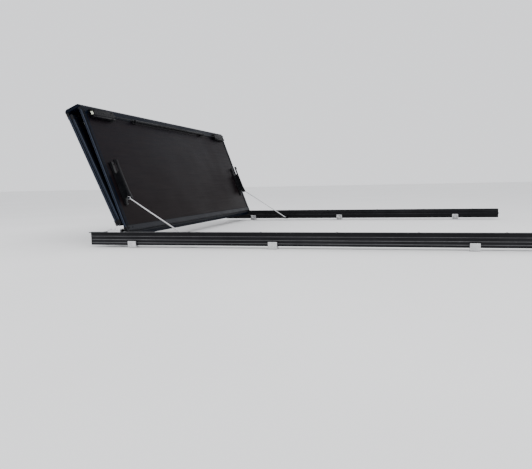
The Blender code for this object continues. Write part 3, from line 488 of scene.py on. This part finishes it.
def panel_trim(body):
    """Edge beads in a painted highlight colour, dark edge gaskets that also paint the shadow in the groove
    there, glazing beads and corner screws of one panel.
    """
    board_low, board_high = flat_box(body, f"{body}_board")
    x_low, x_high = board_low.x - FRAME_OVER_BOARD, board_high.x + FRAME_OVER_BOARD
    for side, word in SIDES:
        low, high = flat_box(body, f"{body}_{word}_frame")
        edge = outer_inner(side, low, high)[0]
        # The edge beads take the lighter copy of the frame aluminium: a painted highlight along the panel
        # edges.
        shape = bmesh.new()
        add_prism(shape, half_round(edge - side * 0.0004, PANEL_BOTTOM + 0.0045, side * 0.0016, 0.0024),
                  "X", x_low, x_high)
        add_prism(shape, half_round(edge - side * 0.0004, PANEL_TOP - 0.0040, side * 0.0010, 0.0012),
                  "X", x_low, x_high)
        piece(f"{body}_{word}_edge_beads", body, "frame_aluminium", shape, look=EDGE_PAINTED_HIGHLIGHT)
        # Dark rubber strip along the underside edge: a gasket whose darkness also paints the shadow in the
        # groove there.
        shape = bmesh.new()
        groove = [(second, first) for first, second in
                  half_round(PANEL_BOTTOM + SINK, edge - side * 0.0085, -0.0006, 0.0045)]
        add_prism(shape, groove, "X", x_low + 0.004, x_high - 0.004)
        piece(f"{body}_{word}_groove_shadow_gasket", body, "seal_rubber", shape)
    glazing = bmesh.new()
    inset_x = FRAME_WIDTH
    x_in = (x_low + inset_x, x_high - inset_x)
    half_y = board_high.y + 0.0003 + 0.003 - inset_x
    for level, out in ((PANEL_BOTTOM + FRAME_LIP, -1), (PANEL_TOP - FRAME_LIP, 1)):
        for edge_y in (-half_y, half_y):
            toward = -math.copysign(0.003, edge_y)
            wedge = [(edge_y, level), (edge_y, level + out * 0.0012), (edge_y + toward, level)]
            add_prism(glazing, wedge, "X", *x_in)
        for edge_x, toward in ((x_in[0], 0.003), (x_in[1], -0.003)):
            wedge = [(edge_x, level), (edge_x, level + out * 0.0012), (edge_x + toward, level)]
            add_prism(glazing, wedge, "Y", -half_y, half_y)
    piece(f"{body}_glazing_beads", body, "seal_rubber", glazing)
    centres = []
    for x in (x_low + 0.013, x_high - 0.013):
        for side in (-1, 1):
            for inward in (0.016, 0.046):
                centres.append((x, side * (board_high.y - inward), PANEL_BOTTOM + SINK))
    screws(f"{body}_corner_screws", body, "black_nylon", centres, UNDER, CORNER_SCREW)


def frame_end_caps(body, node):
    """Black end plugs that close the open ends of a cross frame."""
    low, high = flat_box(body, node)
    for side, word in SIDES:
        edge = high.y * side
        shape = bmesh.new()
        ease = 0.003
        x_low, x_high = max(low.x, high.x - 0.030), high.x
        if abs(low.x) < 0.02:
            x_low, x_high = low.x, min(high.x, low.x + 0.034)
        left, right = x_low + 0.0035, x_high - 0.0035
        bottom, top = PANEL_BOTTOM + 0.0006, PANEL_TOP - 0.0006
        outline = [(left + ease, bottom), (right - ease, bottom)]
        outline += [(right, PANEL_BOTTOM + ease), (right, PANEL_TOP - ease)]
        outline += [(right - ease, top), (left + ease, top)]
        outline += [(left, PANEL_TOP - ease), (left, PANEL_BOTTOM + ease)]
        ends = sorted((edge + side * 0.0002, edge + side * 0.0012))
        add_prism(shape, outline, "Y", *ends)
        piece(f"{node}_{word}_end_cap", body, "black_nylon", shape, bevel=0.0004)


def link_end_plates():
    """Round-cornered plates over both ends of the wide hinge."""
    high = flat_box("fold_link", "fold_hinge_link")[1]
    length = LINK_LENGTH
    radius = -PANEL_BOTTOM
    outline = []
    for step in range(9):
        angle = math.radians(180 + 90 * step / 8)
        outline.append((radius * math.cos(angle), radius * math.sin(angle)))
    for step in range(9):
        angle = math.radians(270 + 90 * step / 8)
        outline.append((length + radius * math.cos(angle), radius * math.sin(angle)))
    outline.append((length + radius * 0.8, PANEL_TOP))
    outline.append((-radius * 0.8, PANEL_TOP))
    for side, word in SIDES:
        shape = bmesh.new()
        edge = high.y * side
        add_prism(shape, outline, "Y", *sorted((edge + side * 0.0013, edge + side * 0.0024)))
        add_turned(shape, (length / 2, edge + side * 0.0024, -0.0075), (0.0, side, 0.0),
                   [(0.0045, 0.0), (0.0042, 0.0004), (0.0020, 0.0005)], 16)
        piece(f"fold_link_{word}_end_plate", "fold_link", "frame_aluminium", shape, bevel=0.0004)


# ---------------------------------------------------------------- latches, cable and sleeve

def latch_details(body, place, side, word):
    """Slotted cover, screws, spring and end stop of one corner latch."""
    name = f"{place}_{word}_latch"
    low, high = flat_box(body, f"{name}_housing")
    bolt_low, bolt_high = flat_box(body, f"{name}_bolt")
    outer, inner = outer_inner(side, low, high)
    bolt_end = outer_inner(side, bolt_low, bolt_high)[1]
    middle = (low.x + high.x) / 2
    gap = (bolt_high.x - bolt_low.x) / 2
    cover = bmesh.new()
    under = min(low.z, bolt_low.z) - 0.0003
    ys = sorted((outer - side * 0.010, inner))
    add_box(cover, (middle - gap - 0.0022, ys[0], under - 0.0012), (middle + gap + 0.0022, ys[1], under))
    for index in range(7):
        y = outer + (inner - outer) * (0.16 + index * 0.11)
        add_box(cover, (middle - gap * 0.6, y - 0.0010, under - 0.0018),
                (middle + gap * 0.6, y + 0.0010, under - 0.0010))
    add_box(cover, (middle - gap, inner + side * 0.004, low.z + 0.0004),
            (middle + gap, inner, high.z - 0.0034))
    piece(f"{name}_cover", body, "black_nylon", cover, bevel=0.0005)
    centres = []
    for x in (low.x + 0.0055, high.x - 0.0055):
        for share in (0.10, 0.90):
            centres.append((x, outer + (inner - outer) * share, low.z + SINK))
    screws(f"{name}_screws", body, "black_nylon", centres, UNDER, LATCH_SCREW)
    spring = bmesh.new()
    axis_z = (bolt_low.z + bolt_high.z) / 2
    turns, steps = 9, 12
    start, end = bolt_end - side * 0.001, inner + side * 0.0055
    path = []
    for step in range(turns * steps + 1):
        angle = math.tau * step / steps
        share = step / (turns * steps)
        path.append((middle + 0.0026 * math.cos(angle), start + (end - start) * share,
                     axis_z + 0.0026 * math.sin(angle)))
    add_tube(spring, path, 0.0006, 6)
    piece(f"{name}_spring", body, "bright_steel", spring)
    return middle, axis_z, inner


def cable_run():
    """Black sheaths between latches and guide clips, ferrules, clip screws and the grip on the sleeve."""
    body = "front_panel"
    for side, word in SIDES:
        middle, axis_z, inner = latch_details(body, "front", side, word)
        low, high = flat_box(body, f"{word}_cable_clip")
        clip_outer = outer_inner(side, low, high)[0]
        start, end = inner - side * 0.001, clip_outer + side * 0.001
        sheath = bmesh.new()
        add_tube(sheath, [(middle, start, axis_z), (middle, (start + end) / 2, axis_z),
                          (middle, end, axis_z)], 0.0026, 12)
        add_turned(sheath, (middle, start, axis_z), (0.0, -side, 0.0),
                   [(0.0052, 0.0), (0.0055, 0.002), (0.0055, 0.008), (0.0036, 0.012), (0.0034, 0.018)])
        add_turned(sheath, (middle, end, axis_z), (0.0, side, 0.0),
                   [(0.0045, 0.0), (0.0045, 0.006), (0.0034, 0.010), (0.0032, 0.016)])
        piece(f"{word}_cable_sheath", body, "black_nylon", sheath)
        centres = []
        for x in (low.x + 0.0042, high.x - 0.0042):
            for y in (low.y + 0.0045, high.y - 0.0045):
                centres.append((x, y, high.z - 0.0030))
        screws(f"{word}_cable_clip_screws", body, "black_nylon", centres, UNDER, CLIP_SCREW)
    low, high = flat_box(body, "release_sleeve")
    grip = bmesh.new()
    radius = (high.z - low.z) / 2
    middle, axis_z = (low.x + high.x) / 2, (low.z + high.z) / 2
    for index in range(-14, 15):
        add_turned(grip, (middle, index * 0.012 - 0.003, axis_z), (0.0, 1.0, 0.0),
                   [(radius - 0.0002, 0.0), (radius + 0.0009, 0.0012), (radius + 0.0009, 0.0048),
                    (radius - 0.0002, 0.006)], 18)
    piece("release_sleeve_grip", body, "black_nylon", grip)


# ---------------------------------------------------------------- rods and brackets

def rod_bracket_details(side, word):
    """Rivets, gussets and pivot washer of a rod bracket."""
    body = "front_panel"
    low, high = flat_box(body, f"{word}_rod_bracket")
    pin_low, pin_high = flat_box(body, f"{word}_rod_pin")
    pivot_x, pivot_z = (pin_low.x + pin_high.x) / 2, (pin_low.z + pin_high.z) / 2
    inner = outer_inner(side, low, high)[1]
    centres = []
    for share in (0.06, 0.36, 0.66, 0.94):
        centres.append((low.x + (high.x - low.x) * share, inner + side * 0.0065, PANEL_BOTTOM - 0.0033))
    screws(f"{word}_rod_bracket_rivets", body, "black_nylon", centres, UNDER, BRACKET_RIVET)
    gussets = bmesh.new()
    wall = inner + side * 0.0125
    for share in (0.22, 0.36, 0.50, 0.64):
        x = low.x + (high.x - low.x) * share
        outline = [(wall, PANEL_BOTTOM - 0.0034), (wall - side * 0.0085, PANEL_BOTTOM - 0.0034),
                   (wall, PANEL_BOTTOM - 0.0240)]
        add_prism(gussets, outline, "X", x - 0.0012, x + 0.0012)
    piece(f"{word}_rod_bracket_gussets", body, "black_nylon", gussets, bevel=0.0003)
    boss = bmesh.new()
    face = pin_high.y if side < 0 else pin_low.y
    add_turned(boss, (pivot_x, face - side * 0.0002, pivot_z), (0.0, -side, 0.0),
               [(0.0056, 0.0), (0.0056, 0.0012), (0.0034, 0.0014), (0.0034, 0.0022), (0.0026, 0.0027)])
    piece(f"{word}_rod_pin_clip", body, "black_nylon", boss)


# ---------------------------------------------------------------- header, rails and clamps

def header_details():
    """Tread ribs on the deck and the screws of the header brackets."""
    low, high = flat_box("root", "header")
    front_wall = low.x + 0.030
    ribs = bmesh.new()
    for index in range(9):
        x = front_wall + 0.012 + index * 0.0072
        outline = half_round(PANEL_TOP - SINK, x, 0.0009, 0.0012)
        outline = [(second, first) for first, second in outline]
        add_prism(ribs, outline, "Y", low.y + 0.036, high.y - 0.036)
    piece("header_deck_ribs", "root", "frame_aluminium", ribs)
    for side, word in SIDES:
        low, high = flat_box("root", f"{word}_header_bracket")
        outer, inner = outer_inner(side, low, high)
        centres = []
        for share in (0.14, 0.50, 0.86):
            x = low.x + (high.x - low.x) * share
            centres.append((x, outer - side * 0.010, high.z - 0.0001))
        screws(f"{word}_header_bracket_bolts", "root", "bright_steel", centres, UP, HEADER_BOLT)
        centres = [(low.x + (high.x - low.x) * share, inner + side * 0.012, low.z + 0.0039)
                   for share in (0.25, 0.75)]
        screws(f"{word}_header_bracket_screws", "root", "bright_steel", centres, UP, HEADER_SCREW)


def rail_details(side, word):
    """End plugs, flange trim and wall beads in a painted highlight colour, and hole plugs of a rail."""
    low, high = flat_box("root", f"{word}_rail")
    outer, inner = outer_inner(side, low, high)
    wall = outer - side * 0.015
    for end, toward, where in ((low.x, -1, "front"), (high.x, 1, "rear")):
        plug = bmesh.new()
        xs = sorted((end + toward * 0.0002, end + toward * 0.0040))
        lip = high.z
        outline = [(outer, lip), (inner + side * 0.034, lip), (inner + side * 0.034, lip - 0.0245),
                   (inner, lip - 0.0245), (inner, lip - 0.0330), (inner + side * 0.030, lip - 0.0330),
                   (inner + side * 0.032, low.z), (wall, low.z), (wall, lip - 0.004), (outer, lip - 0.004)]
        add_prism(plug, outline, "X", *xs)
        piece(f"{word}_rail_{where}_plug", "root", "black_nylon", plug, bevel=0.0008)
    # Flange trim and wall beads take the much lighter grey: painted highlights along the rail's edges and
    # ledges.
    trim = bmesh.new()
    x_low, x_high = low.x + 0.001, high.x - 0.001
    add_prism(trim, [(second, first) for first, second in
                     half_round(high.z - SINK, outer - side * 0.0016, 0.0010, 0.0012)], "X", x_low, x_high)
    add_prism(trim, [(second, first) for first, second in
                     half_round(high.z - SINK, outer - side * 0.0150, 0.0010, 0.0012)], "X", x_low, x_high)
    for height in (0.020, 0.036, 0.050):
        add_prism(trim, half_round(wall - side * 0.0002, high.z - height, side * 0.0012, 0.0014),
                  "X", x_low, x_high)
    piece(f"{word}_rail_beads", "root", "rail_aluminium", trim, look=RAIL_PAINTED_HIGHLIGHT)
    length = high.x - low.x
    centres = [(low.x + length * (index + 0.5) / 6, outer - side * 0.0085, high.z - SINK)
               for index in range(6)]
    screws(f"{word}_rail_hole_plugs", "root", "black_nylon", centres, UP, RAIL_PLUG)
    seal_low, seal_high = flat_box("root", f"{word}_rail_seal")
    ribs = bmesh.new()
    centre = (seal_low.y + seal_high.y) / 2
    for shift in (-0.0034, 0.0034):
        add_prism(ribs, [(second, first) for first, second in
                         half_round(seal_high.z - 0.0012, centre + shift, 0.0008, 0.0007)],
                  "X", seal_low.x, seal_high.x)
    piece(f"{word}_rail_seal_ribs", "root", "seal_rubber", ribs)


def clamp_details(side, word, index):
    """Teeth, washer and hex socket of one rail clamp."""
    low, high = flat_box("root", f"{word}_clamp_{index}")
    bolt_low, bolt_high = flat_box("root", f"{word}_clamp_bolt_{index}")
    outer, inner = outer_inner(side, low, high)
    bolt_inner = outer_inner(side, bolt_low, bolt_high)[1]
    middle, height = (low.x + high.x) / 2, (bolt_low.z + bolt_high.z) / 2
    teeth = bmesh.new()
    for tooth in range(9):
        x = low.x + 0.004 + tooth * 0.004
        add_prism(teeth, [(x - 0.0015, outer - side * 0.0002), (x + 0.0015, outer - side * 0.0002),
                          (x, outer + side * 0.0009)], "Z", low.z + 0.004, high.z - 0.010)
    for tooth in range(5):
        z = low.z + 0.004 + tooth * 0.0035
        add_prism(teeth, [(inner + side * 0.0001, z - 0.0013), (inner - side * 0.0009, z),
                          (inner + side * 0.0001, z + 0.0013)], "X", low.x + 0.003, high.x - 0.003)
    piece(f"{word}_clamp_{index}_ribs", "root", "bright_steel", teeth)
    washer = bmesh.new()
    add_turned(washer, (middle, inner - side * 0.0003, height), (0.0, -side, 0.0),
               [(0.0088, 0.0), (0.0090, 0.0004), (0.0090, 0.0012), (0.0086, 0.0016), (0.0052, 0.0016)], 24)
    add_turned(washer, (middle, bolt_inner + side * 0.0001, height), (0.0, -side, 0.0),
               [(0.0062, 0.0), (0.0058, 0.0005), (0.0032, 0.0006), (0.0028, 0.0001)], 24)
    piece(f"{word}_clamp_{index}_washer", "root", "bright_steel", washer)


def seal_details():
    """A wiping fin on the tailgate seal and fine ribs on the header seal."""
    low, high = flat_box("rear_panel", "tailgate_seal")
    fin = bmesh.new()
    add_prism(fin, [(high.x - 0.0012, high.z - 0.003), (high.x + 0.0045, high.z - 0.0075),
                    (high.x + 0.0040, high.z - 0.0082), (high.x - 0.0016, high.z - 0.0046)],
              "Y", low.y + 0.002, high.y - 0.002)
    piece("tailgate_seal_fin", "rear_panel", "seal_rubber", fin)
    low, high = flat_box("root", "header_seal")
    ribs = bmesh.new()
    for share in (0.35, 0.5, 0.65):
        x = low.x + (high.x - low.x) * share
        add_prism(ribs, [(second, first) for first, second in
                         half_round(high.z - SINK, x, 0.0004, 0.0005)], "Y", low.y, high.y)
    piece("header_seal_ribs", "root", "seal_rubber", ribs)


for panel in ("front_panel", "middle_panel", "rear_panel"):
    panel_trim(panel)
for panel, node in (("front_panel", "front_panel_hinge_frame"), ("front_panel", "front_panel_fold_frame"),
                    ("middle_panel", "middle_panel_fold_frame"), ("middle_panel", "middle_panel_pin_frame"),
                    ("rear_panel", "rear_panel_pin_frame"), ("rear_panel", "rear_panel_tailgate_frame")):
    frame_end_caps(panel, node)
link_end_plates()
cable_run()
header_details()
seal_details()
for side, word in SIDES:
    latch_details("rear_panel", "rear", side, word)
    rod_bracket_details(side, word)
    rail_details(side, word)
    for index in (1, 2, 3):
        clamp_details(side, word, index)


# ---------------------------------------------------------------- floor, light and camera

def floor():
    """Pale floor under the lowest clamp, wide enough to run past every view."""
    half = 30.0
    drop = 0.002
    bpy.ops.mesh.primitive_plane_add(size=2 * half, location=(0.8, 0.0, CAD_BOX[0].z - drop))
    plane = bpy.context.object
    plane.name = "floor"
    nodes = Nodes("floor")
    speckle = nodes.noise(1.2, 3.0, 0.5)
    colour = nodes.mix(nodes.spread(speckle, 0.3, 0.7), (0.80, 0.80, 0.80), (0.84, 0.84, 0.84))
    rough = nodes.spread(speckle, 0.3, 0.7, 0.72, 0.80)
    plane.data.materials.append(nodes.finish(colour, rough, nodes.bump(speckle, 0.02, 0.001)))


def world():
    """Soft, even studio surround."""
    surround = bpy.data.worlds.new("studio")
    surround.use_nodes = True
    background = surround.node_tree.nodes["Background"]
    background.inputs["Color"].default_value = (0.96, 0.97, 1.0, 1.0)
    background.inputs["Strength"].default_value = 1.35
    bpy.context.scene.world = surround


def softbox(name, location, target, size, power, colour=(1.0, 1.0, 1.0)):
    """A large area light aimed at a point."""
    lamp = bpy.data.lights.new(name, "AREA")
    lamp.shape = "RECTANGLE"
    lamp.size = size[0]
    lamp.size_y = size[1]
    lamp.energy = power
    lamp.color = colour
    item = bpy.data.objects.new(name, lamp)
    bpy.context.scene.collection.objects.link(item)
    item.location = location
    toward = Vector(target) - Vector(location)
    item.rotation_euler = toward.to_track_quat("-Z", "Y").to_euler()


def camera():
    """Camera low at the left rear of the bed, looking forward across it."""
    from_hinge = Vector((1.372, -2.9215, 0.2199))
    right = Vector((0.97459, 0.22306, -0.02060)).normalized()
    back = Vector((0.22399, -0.96911, 0.10326)).normalized()
    up = back.cross(right).normalized()
    right = up.cross(back).normalized()
    lens = bpy.data.cameras.new("camera")
    lens.sensor_width = 36.0
    lens.lens = 34.58
    lens.shift_x = -0.0872
    lens.clip_end = 200.0
    item = bpy.data.objects.new("camera", lens)
    bpy.context.scene.collection.objects.link(item)
    turn = Matrix((right, up, back)).transposed().to_4x4()
    place = Matrix.Translation(Vector(JOINTS["front_hinge"]["pos_m"]) + from_hinge)
    item.matrix_world = place @ turn
    bpy.context.scene.camera = item


floor()
world()
softbox("key", (2.6, -2.4, 3.4), (0.2, 0.0, 0.3), (2.6, 2.0), 90.0)
softbox("fill", (-2.2, -2.0, 2.2), (0.2, 0.0, 0.3), (2.0, 2.0), 35.0)
camera()
